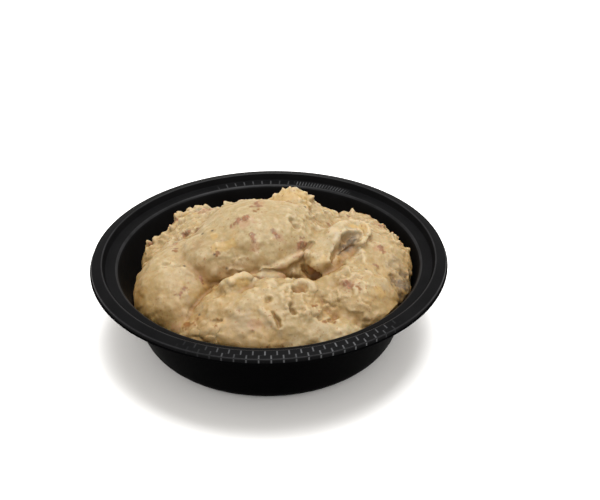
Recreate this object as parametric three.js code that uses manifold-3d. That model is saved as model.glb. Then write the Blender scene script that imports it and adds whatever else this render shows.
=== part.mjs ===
// A side of mashed potato in a round black takeaway bowl.
//
// The bowl is one thin moulding: a flat foot ring, a slightly raised floor, a flared wall, a ledge
// that a lid presses onto, a short step up and a sloping flange that ends in a small outward lip.
// The mash is one solid that fills the bowl and is heaped over it in two dozen pressed-together
// scoops, with curls of red potato skin fused onto it.
//
// Millimetres, +Z up. The origin is the centre of the bowl's foot, on the surface it stands on.

import * as THREE from "three";
import { mergeVertices } from "three/addons/utils/BufferGeometryUtils.js";
import Module from "manifold-3d";

// Driving dimensions of the bowl
const WALL = 0.8;
const LIP_RADIUS = 92.4;
const FLANGE_RADIUS = 91.6;
const FLANGE_EDGE_HEIGHT = 45.3;
const LIP_HEIGHT = 43.4;
const PEAK_RADIUS = 86.4;
const PEAK_HEIGHT = 46.6;
const LEDGE_OUTER_RADIUS = 84.6;
const LEDGE_HEIGHT = 42.9;
const LEDGE_CORNER = 3; // radius of the turn from the ledge down into the wall
const MOUTH_RADIUS = 77.7; // inside of the wall, just below that turn
const MOUTH_HEIGHT = 40.9;
const FLOOR_RADIUS = 57.5; // where the floor starts to turn up
const FLOOR_CORNER = 10.7;
const WALL_BULGE = 0.5; // how far the wall swells outwards, midway
const FOOT_INNER_RADIUS = 50;
const FLOOR_RISE = 1.2; // the middle of the floor stands this far above the foot ring
const BOWL_SEGMENTS = 60;

// Driving dimensions of the mash
const MASH_GAP = 0.35; // between the mash and the bowl
const MASH_EDGE = 4.15; // the length of a facet's side
const LUMP_SPACING = 10;
const SMALLEST_LUMP = 3.5;
const LARGEST_LUMP = 7;
const LUMP_RISE = 0.24; // a lump's height, as a share of its radius
const SLOW_WAVES = 2.6; // how many radians the slow and the quick waves run over a scoop's radius
const QUICK_WAVES = 6;
const SKIN_THICKNESS = 2.4;
const SKIN_SUNK = 1.1; // how much of that thickness lies in the mash
const GOLDEN_ANGLE = Math.PI * (3 - Math.sqrt(5));

// Each scoop: its centre, its three radii, its turn about Z and then Y in degrees, and how lumpy it is.
const SCOOPS = [
  { at: [0, 0, 14.3], radii: [78, 78, 21], turn: [0, 0], lumpy: 0 }, // the bed that the rest lie on
  { at: [0, 2, 33], radii: [50, 44, 19], turn: [0, 0], lumpy: 0 }, // the core under the upper ones
  { at: [-6, 1, 48], radii: [34, 30, 24.5], turn: [0, -8], lumpy: 0.03 }, // the large one on top
  { at: [-23, -11.5, 47], radii: [24, 18.5, 17], turn: [0, 0], lumpy: 0.03 }, // its left shoulder
  { at: [12, 24, 49.5], radii: [18, 14, 18.5], turn: [0, -12], lumpy: 0.05 }, // the peak behind it
  { at: [26, 22, 42], radii: [14, 18, 17], turn: [0, 0], lumpy: 0.05 },
  { at: [44, 22, 33.3], radii: [27, 25, 18], turn: [0, 5], lumpy: 0.05 },
  { at: [-32, 20, 38], radii: [25, 26, 19], turn: [0, 0], lumpy: 0.05 },
  { at: [-50, 8, 34], radii: [18, 20, 16], turn: [0, 0], lumpy: 0.05 },
  { at: [-44.5, -15, 32.5], radii: [23, 36, 23.5], turn: [-12, 0], lumpy: 0.03 }, // the large left one
  { at: [-33, -45, 24.3], radii: [22, 20, 17], turn: [0, 0], lumpy: 0.04 },
  { at: [-3, -44, 34], radii: [38, 25, 19], turn: [0, 0], lumpy: 0.04 }, // the near one
  { at: [14, -50, 24], radii: [30, 26, 21], turn: [0, 0], lumpy: 0.04 },
  { at: [-16, -37.5, 47], radii: [11, 8.5, 9], turn: [20, 0], lumpy: 0.06 }, // a crest torn up beside it
  { at: [17, -38.5, 43], radii: [13, 9, 9], turn: [-10, 0], lumpy: 0.06 }, // the rim of a crater
  { at: [-1, -31, 47], radii: [10, 6, 6.5], turn: [0, 0], lumpy: 0.06 }, // broken bits
  { at: [41, -34, 34.3], radii: [26, 25, 19], turn: [0, 0], lumpy: 0.05 }, // the near right one
  { at: [31, -58, 27], radii: [18, 17, 17], turn: [0, 0], lumpy: 0.04 },
  { at: [46.5, -2, 35], radii: [28, 31, 21.5], turn: [0, 0], lumpy: 0.05 }, // the large right one
  { at: [55, -21, 31], radii: [21, 20, 15], turn: [0, 0], lumpy: 0.04 },
  { at: [37.5, -4, 53], radii: [19, 12, 10], turn: [38, -4], lumpy: 0.06 }, // a smear off the spoon
  { at: [26.5, -20, 52], radii: [9, 9, 8.5], turn: [0, 0], lumpy: 0.04 }, // its rounded near end
  { at: [-6, 41, 24], radii: [34, 23, 17], turn: [0, 0], lumpy: 0.05 }, // three low ones at the back
  { at: [35, 39, 22], radii: [24, 21, 17], turn: [0, 0], lumpy: 0.05 },
  { at: [-40, 36, 19], radii: [24, 21, 17], turn: [0, 0], lumpy: 0.05 },
];

// Hollows torn out of the heap: the gap under the top scoop, the pocket in the smear and the crater.
const HOLLOWS = [
  { at: [21, -27.5, 49.5], radii: [9, 4.5, 3.6], turn: [0, 12], lumpy: 0.05 },
  { at: [40, -16, 59.5], radii: [14, 6, 6.5], turn: [54, -12], lumpy: 0.05 },
  { at: [15, -43, 53], radii: [5.5, 4, 4.5], turn: [20, 0], lumpy: 0.05 },
];

// Curls of potato skin: where each lies seen from above, its length, and its turn in degrees.
const SKINS = [
  [-11.5, -9.6, 9, 15],
  [-4.8, 4.1, 10, 60],
  [4.1, -16.1, 7, -30],
  [-6, -20.6, 5.5, -50],
  [16.1, -19.8, 9.5, 75],
  [31.5, 0.3, 6, 30],
  [-29.7, 26.3, 6, 0],
  [-41.8, 8.9, 9, -10],
  [-46.6, -13.3, 6, 60],
  [-25.4, -20.6, 5, -80],
  [56.6, -14.1, 7, -65],
  [53.6, -23.3, 5, -50],
  [37.5, -25.3, 6.5, 20],
  [39.4, -42.4, 9, -30],
  [52.1, -45.3, 6.5, -60],
  [-41.9, -38.9, 7.5, -60],
  [-7, -62, 5.5, 0],
  [7.2, -30.5, 8, 10],
  [-20, 34, 8, 35],
  [10, 40, 7, -20],
  [38, 36, 8, 70],
  [-50, 26, 6, 40],
  [4, 60, 6, 15],
];

// The bowl's inside surface, from the middle of the floor up and over to the flange's edge.
function insideProfile() {
  const floorHeight = WALL;
  const points = [
    [0, floorHeight + FLOOR_RISE],
    [FOOT_INNER_RADIUS - 2, floorHeight + FLOOR_RISE],
    [FOOT_INNER_RADIUS, floorHeight],
  ];
  // The wall leaves the floor's corner and the ledge's corner at the same slope.
  const flare = MOUTH_RADIUS - FLOOR_RADIUS - FLOOR_CORNER;
  const slope = Math.atan2(flare, MOUTH_HEIGHT - floorHeight - FLOOR_CORNER);
  const cornerSteps = 3;
  for (let i = 0; i <= cornerSteps; i++) {
    const a = (i / cornerSteps) * (Math.PI / 2 - slope);
    points.push([
      FLOOR_RADIUS + FLOOR_CORNER * Math.sin(a),
      floorHeight + FLOOR_CORNER * (1 - Math.cos(a)),
    ]);
  }
  const [lowRadius, lowHeight] = points[points.length - 1];
  const wallSteps = 3;
  for (let i = 1; i <= wallSteps; i++) {
    const t = i / wallSteps;
    points.push([
      THREE.MathUtils.lerp(lowRadius, MOUTH_RADIUS, t) + WALL_BULGE * Math.sin(Math.PI * t),
      THREE.MathUtils.lerp(lowHeight, MOUTH_HEIGHT, t),
    ]);
  }
  const ledgeSteps = 2;
  const turnHeight = LEDGE_HEIGHT - LEDGE_CORNER;
  const turnRadius = MOUTH_RADIUS + LEDGE_CORNER * Math.cos(slope);
  for (let i = 1; i <= ledgeSteps; i++) {
    const a = slope + (i / ledgeSteps) * (Math.PI / 2 - slope);
    points.push([turnRadius - LEDGE_CORNER * Math.cos(a), turnHeight + LEDGE_CORNER * Math.sin(a)]);
  }
  points.push([LEDGE_OUTER_RADIUS, LEDGE_HEIGHT]);
  points.push([PEAK_RADIUS - 0.4, PEAK_HEIGHT - 0.3]);
  points.push([PEAK_RADIUS + 0.3, PEAK_HEIGHT]);
  points.push([FLANGE_RADIUS - 0.4, FLANGE_EDGE_HEIGHT]);
  points.push([FLANGE_RADIUS, FLANGE_EDGE_HEIGHT - 0.5]);
  points.push([FLANGE_RADIUS, LIP_HEIGHT + 0.3]);
  points.push([LIP_RADIUS, LIP_HEIGHT]);
  return points.map(([r, z]) => new THREE.Vector2(r, z));
}

// The same line moved outwards and downwards, or inwards and upwards where the distance is negative.
function offset(profile, distance) {
  return profile.map((point, i) => {
    const before = profile[Math.max(i - 1, 0)];
    const after = profile[Math.min(i + 1, profile.length - 1)];
    const along = after.clone().sub(before).normalize();
    const moved = new THREE.Vector2(point.x + along.y * distance, point.y - along.x * distance);
    return i === 0 ? new THREE.Vector2(0, point.y - distance) : moved;
  });
}

// A profile in (radius, height) turned about Z; LatheGeometry turns about Y, so it is stood up.
function turned(profile) {
  const closed = profile[0].x > 0 ? [...profile, profile[0]] : profile;
  return new THREE.LatheGeometry(closed, BOWL_SEGMENTS).rotateX(Math.PI / 2);
}

// Moving the line outwards leaves the foot ring a hair off flat, so its points are set on the ground.
function standFlat(profile) {
  const hair = 0.06;
  return profile.map((p) => (p.y < hair ? new THREE.Vector2(p.x, 0) : p));
}

function bowlGeometry() {
  const inside = insideProfile();
  const outside = standFlat(offset(inside, WALL));
  return turned([...outside, ...inside.reverse()]);
}

// A repeatable draw between 0 and 1, the fractional part of a stretched sine.
function draw(seed) {
  const x = Math.sin(seed * 127.1 + 11.7) * 43758.5453;
  return x - Math.floor(x);
}

// Waves over a sphere of directions: the mean of six sines, whose own directions the golden angle spreads.
function waves(direction, radians, seed) {
  const sines = 6;
  let sum = 0;
  for (let i = 0; i < sines; i++) {
    const turn = GOLDEN_ANGLE * (i + 1) * (seed * 1.7 + 1);
    const z = 1 - (2 * (i + 0.5)) / sines;
    const r = Math.sqrt(1 - z * z);
    const along = direction.x * r * Math.cos(turn) + direction.y * r * Math.sin(turn) + direction.z * z;
    sum += Math.sin(along * radians + seed * 2.1 + i * 1.3);
  }
  return sum / sines;
}

// Where a scoop lies: its radii, then its turn, then its centre.
function placeOf(scoop) {
  const [aboutZ, aboutY] = scoop.turn.map(THREE.MathUtils.degToRad);
  const turn = new THREE.Quaternion()
    .setFromAxisAngle(new THREE.Vector3(0, 0, 1), aboutZ)
    .multiply(new THREE.Quaternion().setFromAxisAngle(new THREE.Vector3(0, 1, 0), aboutY));
  const centre = new THREE.Vector3(...scoop.at);
  return new THREE.Matrix4().compose(centre, turn, new THREE.Vector3(...scoop.radii));
}

// Lumps spread evenly over a scoop, by the golden angle; their sizes are shares of the scoop's radius.
function lumpsOn(radius, seed) {
  const count = Math.round(4 * Math.PI * (radius / LUMP_SPACING) ** 2);
  return Array.from({ length: count }, (_, i) => {
    const z = 1 - (2 * (i + 0.5)) / count;
    const r = Math.sqrt(1 - z * z);
    const turn = i * GOLDEN_ANGLE + 0.6 * draw(seed * 100 + i);
    return {
      direction: new THREE.Vector3(r * Math.cos(turn), r * Math.sin(turn), z),
      size: THREE.MathUtils.lerp(SMALLEST_LUMP, LARGEST_LUMP, draw(seed * 200 + i)) / radius,
    };
  });
}

// How far the surface swells in a direction: slow waves, and on them a dome for each lump.
function swelling(direction, scoop, lumps, seed) {
  const slow = waves(direction, SLOW_WAVES, seed) + 0.5 * waves(direction, QUICK_WAVES, seed + 3);
  let dome = 0;
  for (const lump of lumps) {
    const apart = direction.distanceTo(lump.direction) / lump.size;
    if (apart < 1) dome = Math.max(dome, LUMP_RISE * lump.size * Math.sqrt(1 - apart * apart));
  }
  return 1 + scoop.lumpy * slow + dome;
}

function scoopGeometry(scoop, seed) {
  const radius = Math.cbrt(scoop.radii[0] * scoop.radii[1] * scoop.radii[2]);
  const detail = Math.max(2, Math.round((1.05 * radius) / MASH_EDGE) - 1);
  const geometry = new THREE.IcosahedronGeometry(1, detail);
  const position = geometry.getAttribute("position");
  const lumps = scoop.lumpy > 0 ? lumpsOn(radius, seed) : [];
  // A lumpy scoop is drawn in a little first, so that with its lumps it is as large as its radii say.
  const drawnIn = (LUMP_RISE * SMALLEST_LUMP * Math.sign(lumps.length)) / radius;
  const point = new THREE.Vector3();
  for (let i = 0; i < position.count; i++) {
    point.fromBufferAttribute(position, i).normalize();
    point.multiplyScalar(swelling(point, scoop, lumps, seed) - drawnIn);
    position.setXYZ(i, point.x, point.y, point.z);
  }
  return geometry.applyMatrix4(placeOf(scoop));
}

// The space in the bowl that the mash may fill, open upwards past the top of the heap.
function cavityGeometry() {
  const inside = offset(insideProfile(), -MASH_GAP);
  const wall = inside.slice(0, inside.findIndex((p) => p.y > MOUTH_HEIGHT - 1));
  const clear = MOUTH_RADIUS - MASH_GAP;
  const top = 2 * PEAK_HEIGHT;
  const above = [[clear, MOUTH_HEIGHT], [clear, top], [0, top]].map(([r, z]) => new THREE.Vector2(r, z));
  return turned([...wall, ...above]);
}

// Heights of a finished surface at places seen from above, found by a ray cast straight down.
function heightsOf(geometry) {
  const surface = new THREE.Mesh(geometry, new THREE.MeshBasicMaterial());
  const down = new THREE.Vector3(0, 0, -1);
  const ray = new THREE.Raycaster();
  return (x, y) => {
    ray.set(new THREE.Vector3(x, y, 2 * PEAK_HEIGHT), down);
    return ray.intersectObject(surface)[0].point.z;
  };
}

// A curl of skin: a thin bent strip with tapering ends and an uneven outline.
function skinGeometry(long, seed) {
  const wide = long * THREE.MathUtils.lerp(0.4, 0.6, draw(seed + 80));
  const bend = THREE.MathUtils.lerp(0.02, 0.05, draw(seed + 120));
  const geometry = new THREE.BoxGeometry(long, wide, SKIN_THICKNESS, 4, 1, 1);
  const position = geometry.getAttribute("position");
  for (let i = 0; i < position.count; i++) {
    const x = position.getX(i);
    const along = (2 * x) / long;
    const narrowing = 1 - 0.55 * along * along;
    position.setY(i, position.getY(i) * narrowing + 0.1 * wide * Math.sin(3 * along + seed));
    position.setZ(i, position.getZ(i) - bend * x * x);
  }
  return geometry;
}

// Each curl lies flat against the slope of the heap.
function placedSkin([x, y, long, turnDegrees], heightAt, seed) {
  const reach = long / 2;
  const slopeX = (heightAt(x + reach, y) - heightAt(x - reach, y)) / (2 * reach);
  const slopeY = (heightAt(x, y + reach) - heightAt(x, y - reach)) / (2 * reach);
  const normal = new THREE.Vector3(-slopeX, -slopeY, 1).normalize();
  const up = new THREE.Vector3(0, 0, 1);
  const lay = new THREE.Quaternion().setFromUnitVectors(up, normal);
  const spin = new THREE.Quaternion().setFromAxisAngle(up, THREE.MathUtils.degToRad(turnDegrees));
  const at = new THREE.Vector3(x, y, heightAt(x, y)).addScaledVector(normal, SKIN_THICKNESS / 2 - SKIN_SUNK);
  const place = new THREE.Matrix4().compose(at, lay.multiply(spin), new THREE.Vector3(1, 1, 1));
  return skinGeometry(long, seed).applyMatrix4(place);
}

const wasm = await Module();
wasm.setup();

function solidOf(geometry) {
  const bare = geometry.clone();
  bare.deleteAttribute("normal");
  bare.deleteAttribute("uv");
  const merged = mergeVertices(bare, 1e-4);
  return new wasm.Manifold(
    new wasm.Mesh({
      numProp: 3,
      vertProperties: new Float32Array(merged.getAttribute("position").array),
      triVerts: new Uint32Array(merged.index.array),
    }),
  );
}

function geometryOf(solid) {
  const mesh = solid.getMesh();
  return new THREE.BufferGeometry()
    .setAttribute("position", new THREE.BufferAttribute(mesh.vertProperties, 3))
    .setIndex(new THREE.BufferAttribute(mesh.triVerts, 1));
}

function mashGeometry() {
  const scoops = SCOOPS.map((scoop, i) => solidOf(scoopGeometry(scoop, i + 1)));
  const hollows = HOLLOWS.map((hollow, i) => solidOf(scoopGeometry(hollow, SCOOPS.length + i + 1)));
  const heap = scoops.reduce((joined, scoop) => joined.add(scoop));
  const torn = hollows.reduce((left, hollow) => left.subtract(hollow), heap);
  const mash = torn.intersect(solidOf(cavityGeometry()));
  const heightAt = heightsOf(geometryOf(mash));
  const skins = SKINS.map((skin, i) => solidOf(placedSkin(skin, heightAt, i)));
  return geometryOf(skins.reduce((joined, skin) => joined.add(skin), mash));
}

function named(name, geometry, material) {
  const mesh = new THREE.Mesh(geometry, material);
  mesh.name = name;
  return mesh;
}

const blackPlastic = new THREE.MeshStandardMaterial({ color: 0x0c0c0d, roughness: 0.32, metalness: 0 });
const creamMash = new THREE.MeshStandardMaterial({ color: 0xd9c094, roughness: 0.6, metalness: 0 });

const mashedPotatoSide = new THREE.Group();
mashedPotatoSide.add(named("bowl", bowlGeometry(), blackPlastic));
mashedPotatoSide.add(named("mashed_potato", mashGeometry(), creamMash));

export default mashedPotatoSide;
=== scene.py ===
# %% [markdown]
# A side of mashed potato, dressed
#
# The finished model of a round black takeaway bowl and its mash arrives as a fixed frame. This lesson
# replaces both plain solids with surfaces worked out in numpy: the bowl as a turned profile, and the
# mash as two dozen pressed-together scoops that a voxel remesh fuses and that noise then roughens.
# Lengths are written in millimetres, as a cook or a toolmaker would say them, and become metres when
# a mesh or a material is made.

# %% Load the frame
import math

import bmesh
import bpy
import numpy as np
from mathutils import Matrix, Vector


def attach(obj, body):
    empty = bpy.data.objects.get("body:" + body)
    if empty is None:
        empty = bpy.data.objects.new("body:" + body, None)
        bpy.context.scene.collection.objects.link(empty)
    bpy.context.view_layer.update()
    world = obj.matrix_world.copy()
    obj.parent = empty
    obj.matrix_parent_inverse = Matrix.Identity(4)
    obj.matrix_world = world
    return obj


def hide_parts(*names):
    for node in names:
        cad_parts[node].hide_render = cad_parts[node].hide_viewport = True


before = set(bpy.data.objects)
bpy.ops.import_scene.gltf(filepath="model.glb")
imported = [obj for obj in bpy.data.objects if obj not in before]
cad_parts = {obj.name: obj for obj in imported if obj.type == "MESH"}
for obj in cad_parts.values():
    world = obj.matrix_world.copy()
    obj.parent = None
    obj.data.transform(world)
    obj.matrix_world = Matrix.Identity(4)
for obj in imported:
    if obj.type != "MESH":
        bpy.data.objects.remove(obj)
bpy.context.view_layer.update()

MM = 0.001  # one millimetre, in the metres that a scene is made in

# %% [markdown]
# Camera
#
# The bowl is seen from the front and well above, the way someone looks down at a table. A camera could
# be aimed with a constraint, but a plain matrix says more: its back points from the bowl to the lens,
# and a small roll and shift place the bowl in the frame. It is made first, so that everything else can
# be judged through it.

# %% Camera
RIM_HEIGHT = 45.3  # of the flange's outer edge, which the camera is aimed at
CAMERA_DISTANCE = 600
CAMERA_ELEVATION = math.radians(31.78)
CAMERA_ROLL = math.radians(-1.56)
LENS = 69.3
SHIFT = (0.0528, 0.0049)


def add_camera():
    """The camera's axes: back = towards the lens, right = +X rolled a little, up = back x right."""
    back = Vector((0, -math.cos(CAMERA_ELEVATION), math.sin(CAMERA_ELEVATION)))
    right = Matrix.Rotation(CAMERA_ROLL, 3, back) @ Vector((1, 0, 0))
    up = back.cross(right)
    data = bpy.data.cameras.new("camera")
    data.lens = LENS
    data.shift_x, data.shift_y = SHIFT
    data.clip_start, data.clip_end = 0.01, 20
    camera = bpy.data.objects.new("camera", data)
    place = Matrix((right, up, back)).transposed().to_4x4()
    place.translation = (Vector((0, 0, RIM_HEIGHT)) + back * CAMERA_DISTANCE) * MM
    camera.matrix_world = place
    bpy.context.scene.collection.objects.link(camera)
    bpy.context.scene.camera = camera
    return camera


camera = add_camera()
print("camera at", [round(c, 3) for c in camera.matrix_world.translation])

# %% [markdown]
# Meshes from grids
#
# Nearly every surface here is a function of two parameters on a grid. A grid that closes on itself one
# way is a tube, and a tube whose ends are gathered to a point is a closed skin. One helper turns such
# an array into a mesh; the faces come from index arithmetic on whole arrays.

# %% Grid helpers
def grid_faces(rows, columns):
    """Quads of a grid whose columns wrap round: corner indices from row and column numbers."""
    r, c = np.meshgrid(np.arange(rows - 1), np.arange(columns), indexing="ij")
    d = (c + 1) % columns
    here, above = r * columns, (r + 1) * columns
    return np.stack([here + c, here + d, above + d, above + c], -1).reshape(-1, 4)


def flat_metres(points):
    """Points in millimetres as one flat run of numbers in metres, which is what foreach_set takes."""
    return np.ascontiguousarray(points * MM, dtype=np.float32).ravel()


def mesh_piece(name, points, quads):
    """A mesh object at the origin, from an array of points in millimetres and one of quads."""
    mesh = bpy.data.meshes.new(name)
    mesh.vertices.add(len(points))
    mesh.vertices.foreach_set("co", flat_metres(points))
    mesh.loops.add(quads.size)
    mesh.loops.foreach_set("vertex_index", quads.astype(np.int32).ravel())
    mesh.polygons.add(len(quads))
    mesh.polygons.foreach_set("loop_start", np.arange(0, quads.size, 4, dtype=np.int32))
    mesh.update(calc_edges=True)
    mesh.validate()
    piece = bpy.data.objects.new(name, mesh)
    bpy.context.scene.collection.objects.link(piece)
    return piece


# %% Reading and changing a mesh
def vectors_of(items, name):
    """One vector of each vertex or polygon, as the rows of an array."""
    flat = np.empty(len(items) * 3, np.float32)
    items.foreach_get(name, flat)
    return flat.reshape(-1, 3).astype(float)


def points_of(piece):
    """A mesh's vertices as an array in millimetres."""
    return vectors_of(piece.data.vertices, "co") / MM


def normals_of(piece):
    """The directions that a mesh's vertices face, each of length 1."""
    return vectors_of(piece.data.vertex_normals, "vector")


def move_points(piece, points):
    piece.data.vertices.foreach_set("co", flat_metres(points))
    piece.data.update()


def apply_modifiers(piece):
    """Bakes a piece's modifiers into a plain mesh."""
    graph = bpy.context.evaluated_depsgraph_get()
    finished = bpy.data.meshes.new_from_object(piece.evaluated_get(graph))
    piece.modifiers.clear()
    old, piece.data = piece.data, finished
    bpy.data.meshes.remove(old)


def shade_smooth(piece):
    piece.data.polygons.foreach_set("use_smooth", np.ones(len(piece.data.polygons), bool))
    piece.data.update()


def count_triangles(piece):
    """A polygon with n corners makes n - 2 triangles."""
    return len(piece.data.loops) - 2 * len(piece.data.polygons)


# %% [markdown]
# Noise
#
# Blender's textures colour a surface, but here the noise has to move vertices, so it is computed with
# numpy. Each whole-number cell of space gets a repeatable number from an integer hash, and a point
# blends the eight numbers around it. Sums of it at shrinking sizes look like torn, crumbly matter.

# %% Noise helpers
# Large odd numbers scramble a whole number when it is multiplied by them and cut to 32 bits.
ODD_X, ODD_Y, ODD_Z, ODD_SEED, ODD_STIR = 374761393, 668265263, 1103515245, 974711, 1274126177
CUT_32_BITS, CUT_16_BITS = 0xFFFFFFFF, 0xFFFF


def cell_value(cell, seed):
    """A repeatable number from -1 to 1 for each row of whole numbers, by multiplying and shifting."""
    ix, iy, iz = cell[..., 0], cell[..., 1], cell[..., 2]
    h = (ix * ODD_X + iy * ODD_Y + iz * ODD_Z + seed * ODD_SEED) & CUT_32_BITS
    h = ((h ^ (h >> 13)) * ODD_STIR) & CUT_32_BITS
    h = ((h ^ (h >> 15)) * ODD_Y) & CUT_32_BITS
    return ((h >> 8) & CUT_16_BITS) / (CUT_16_BITS / 2) - 1


def noise(points, size, seed=0):
    """Smooth noise from -1 to 1 with features of the given size: the eight corners' values, blended."""
    scaled = points / size
    low = np.floor(scaled).astype(np.int64)
    t = scaled - low
    t = t * t * t * (t * (t * 6 - 15) + 10)  # eases off towards both corners, so that no cell shows
    total = 0
    for dx in (0, 1):
        for dy in (0, 1):
            for dz in (0, 1):
                corner = np.array([dx, dy, dz])
                weight = np.prod(np.where(corner, t, 1 - t), axis=-1)
                total = total + weight * cell_value(low + corner, seed)
    return total


def layered(points, size, octaves, seed=0, keep=0.5):
    """Several sizes of noise, each half as large as the last, with its share kept."""
    total, share, whole = 0, 1, 0
    for i in range(octaves):
        total = total + share * noise(points, size / 2**i, seed + 17 * i)
        whole += share
        share *= keep
    return total / whole


def smoothstep(low, high, value):
    """0 below low, 1 above high, and a smooth S between."""
    t = np.clip((value - low) / (high - low), 0, 1)
    return t * t * (3 - 2 * t)


# %% [markdown]
# Shader maths
#
# Materials are node graphs, and long graphs read badly as lists of links. Wrapping a socket in a small
# class lets the maths be written as Python: an expression on values adds the Math nodes it needs.

# %% Shader helper
class Value:
    """A node's output socket that adds Math nodes when it takes part in an expression."""

    def __init__(self, shader, socket):
        self.shader, self.socket = shader, socket

    def _math(self, operation, *others):
        return self.shader.node("ShaderNodeMath", {"operation": operation}, *others)

    def __add__(self, other):
        return self._math("ADD", self, other)

    def __rsub__(self, other):
        return self._math("SUBTRACT", other, self)

    def __mul__(self, other):
        return self._math("MULTIPLY", self, other)

    __radd__ = __add__
    __rmul__ = __mul__

    def with_other(self, operation, other):
        """Any other Math operation on this value and one more."""
        return self._math(operation, self, other)

    def clipped(self, low, high):
        """This value run from low..high to 0..1 and held there."""
        return self.shader.node("ShaderNodeMapRange", {"clamp": True}, self, low, high)


class Shader:
    """A material being built, whose colours, roughness and normal are node graphs."""

    def __init__(self, name):
        self.material = bpy.data.materials.new(name)
        self.material.use_nodes = True
        self.tree = self.material.node_tree
        self.surface = self.tree.nodes["Principled BSDF"]
        self.place = self.node("ShaderNodeTexCoord", {}, output="Object")

    def connect(self, socket, value):
        """Links a value to a socket, or sets a plain number or colour on the socket itself."""
        if isinstance(value, Value):
            self.tree.links.new(value.socket, socket)
        else:
            socket.default_value = value

    def node(self, kind, settings, *values, output=0, **named):
        """Adds any node from its type, its settings, and its sockets' values in order or by name."""
        made = self.tree.nodes.new(kind)
        for key, setting in settings.items():
            setattr(made, key, setting)
        inputs = [s for s in made.inputs if s.enabled]
        for socket, value in zip(inputs, values):
            self.connect(socket, value)
        for key, value in named.items():
            wanted = key.replace("_", " ").lower()
            self.connect(next(s for s in inputs if s.name.lower() == wanted), value)
        outputs = [s for s in made.outputs if s.enabled]
        chosen = outputs[output] if isinstance(output, int) else made.outputs[output]
        return Value(self, chosen)

    def noise(self, scale, detail, roughness, seed=0.0):
        """Noise at a scale in features to the metre. Each seed takes its own slice of 4-D noise."""
        return self.node("ShaderNodeTexNoise", {"noise_dimensions": "4D"}, self.place, W=seed,
                         Scale=scale, Detail=detail, Roughness=roughness)

    def attribute(self, name):
        """A number that the piece's own mesh holds for each vertex."""
        return self.node("ShaderNodeAttribute", {"attribute_name": name}, output="Fac")

    def mix(self, factor, one, other):
        """Runs from colour one to colour other."""
        return self.node("ShaderNodeMix", {"data_type": "RGBA"}, factor, one, other)

    def bump(self, height, distance, strength):
        """A normal tilted as if a height of 1 stood out by the distance, in millimetres."""
        return self.node("ShaderNodeBump", {}, Height=height, Distance=distance * MM, Strength=strength)

    def axis(self, name):
        """One of the place's coordinates, in metres."""
        return self.node("ShaderNodeSeparateXYZ", {}, self.place, output=name)

    def finish(self, **sockets):
        """Feeds the surface's sockets, named with _ for each space, and returns the material."""
        for key, value in sockets.items():
            self.connect(self.surface.inputs[key.replace("_", " ")], value)
        return self.material


def rgb(red, green, blue):
    return (red, green, blue, 1)


# %% [markdown]
# The bowl
#
# The bowl is one thin moulding of black polypropylene. Its section is drawn as two lines, inside and
# outside, with every turn an arc of its own radius, and the section is swept round the axis. A screw
# modifier could do the same; the array keeps control of how the points are shared out.

# %% Bowl sizes
WALL = 0.8  # thickness of the moulding
LIP_RADIUS, LIP_HEIGHT = 92.4, 43.4
LIP_CHAMFER, LIP_THICKNESS = 0.25, 0.6
FLANGE_RADIUS = 91.6  # the flange slopes from its peak down to RIM_HEIGHT here
PEAK_RADIUS, PEAK_HEIGHT = 86.4, 46.6
LEDGE_OUTER_RADIUS, LEDGE_HEIGHT = 84.6, 42.9  # the flat ring that a lid sits on
LEDGE_CORNER = 3  # rounding between the wall and the ledge
MOUTH_RADIUS, MOUTH_HEIGHT = 77.7, 40.9
FLOOR_RADIUS, FLOOR_CORNER = 57.5, 10.7
WALL_BULGE = 0.5
FOOT_INNER_RADIUS = 50
FLOOR_RISE = 1.2  # of the floor inside the foot ring
FLOOR_TOP = WALL + FLOOR_RISE
FOOT_FLATNESS = 0.06  # what lies this close to the table is made flat on it


# %% Bowl section
def rounded(corners, steps=6):
    """A line through corners given as (radius, height, rounding), each turned on an arc.

    The arc starts and ends where both sides touch it, rounding x tan(half the turn) from the corner."""
    points = [np.array(corners[0][:2], float)]
    for before, corner, after in zip(corners, corners[1:], corners[2:]):
        at, rounding = np.array(corner[:2], float), corner[2]
        inward = np.array(before[:2]) - at
        onward = np.array(after[:2]) - at
        inward, onward = inward / np.linalg.norm(inward), onward / np.linalg.norm(onward)
        opening = math.acos(np.clip(inward @ onward, -1, 1))
        if rounding == 0 or math.pi - opening < 0.01:
            points.append(at)
            continue
        reach = rounding / math.tan(opening / 2)
        start, end = at + inward * reach, at + onward * reach
        for t in np.linspace(0, 1, steps):
            # A quadratic curve with the corner as its handle lies within a hair of the arc.
            points.append((1 - t) ** 2 * start + 2 * t * (1 - t) * at + t * t * end)
    points.append(np.array(corners[-1][:2], float))
    return np.array(points)


def wall_line(low, high, steps=14):
    """The flared wall between two (radius, height) points, swollen outwards by half a sine."""
    t = np.linspace(0, 1, steps)
    line = np.outer(1 - t, low) + np.outer(t, high)
    line[:, 0] += WALL_BULGE * np.sin(math.pi * t)
    return line


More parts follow.
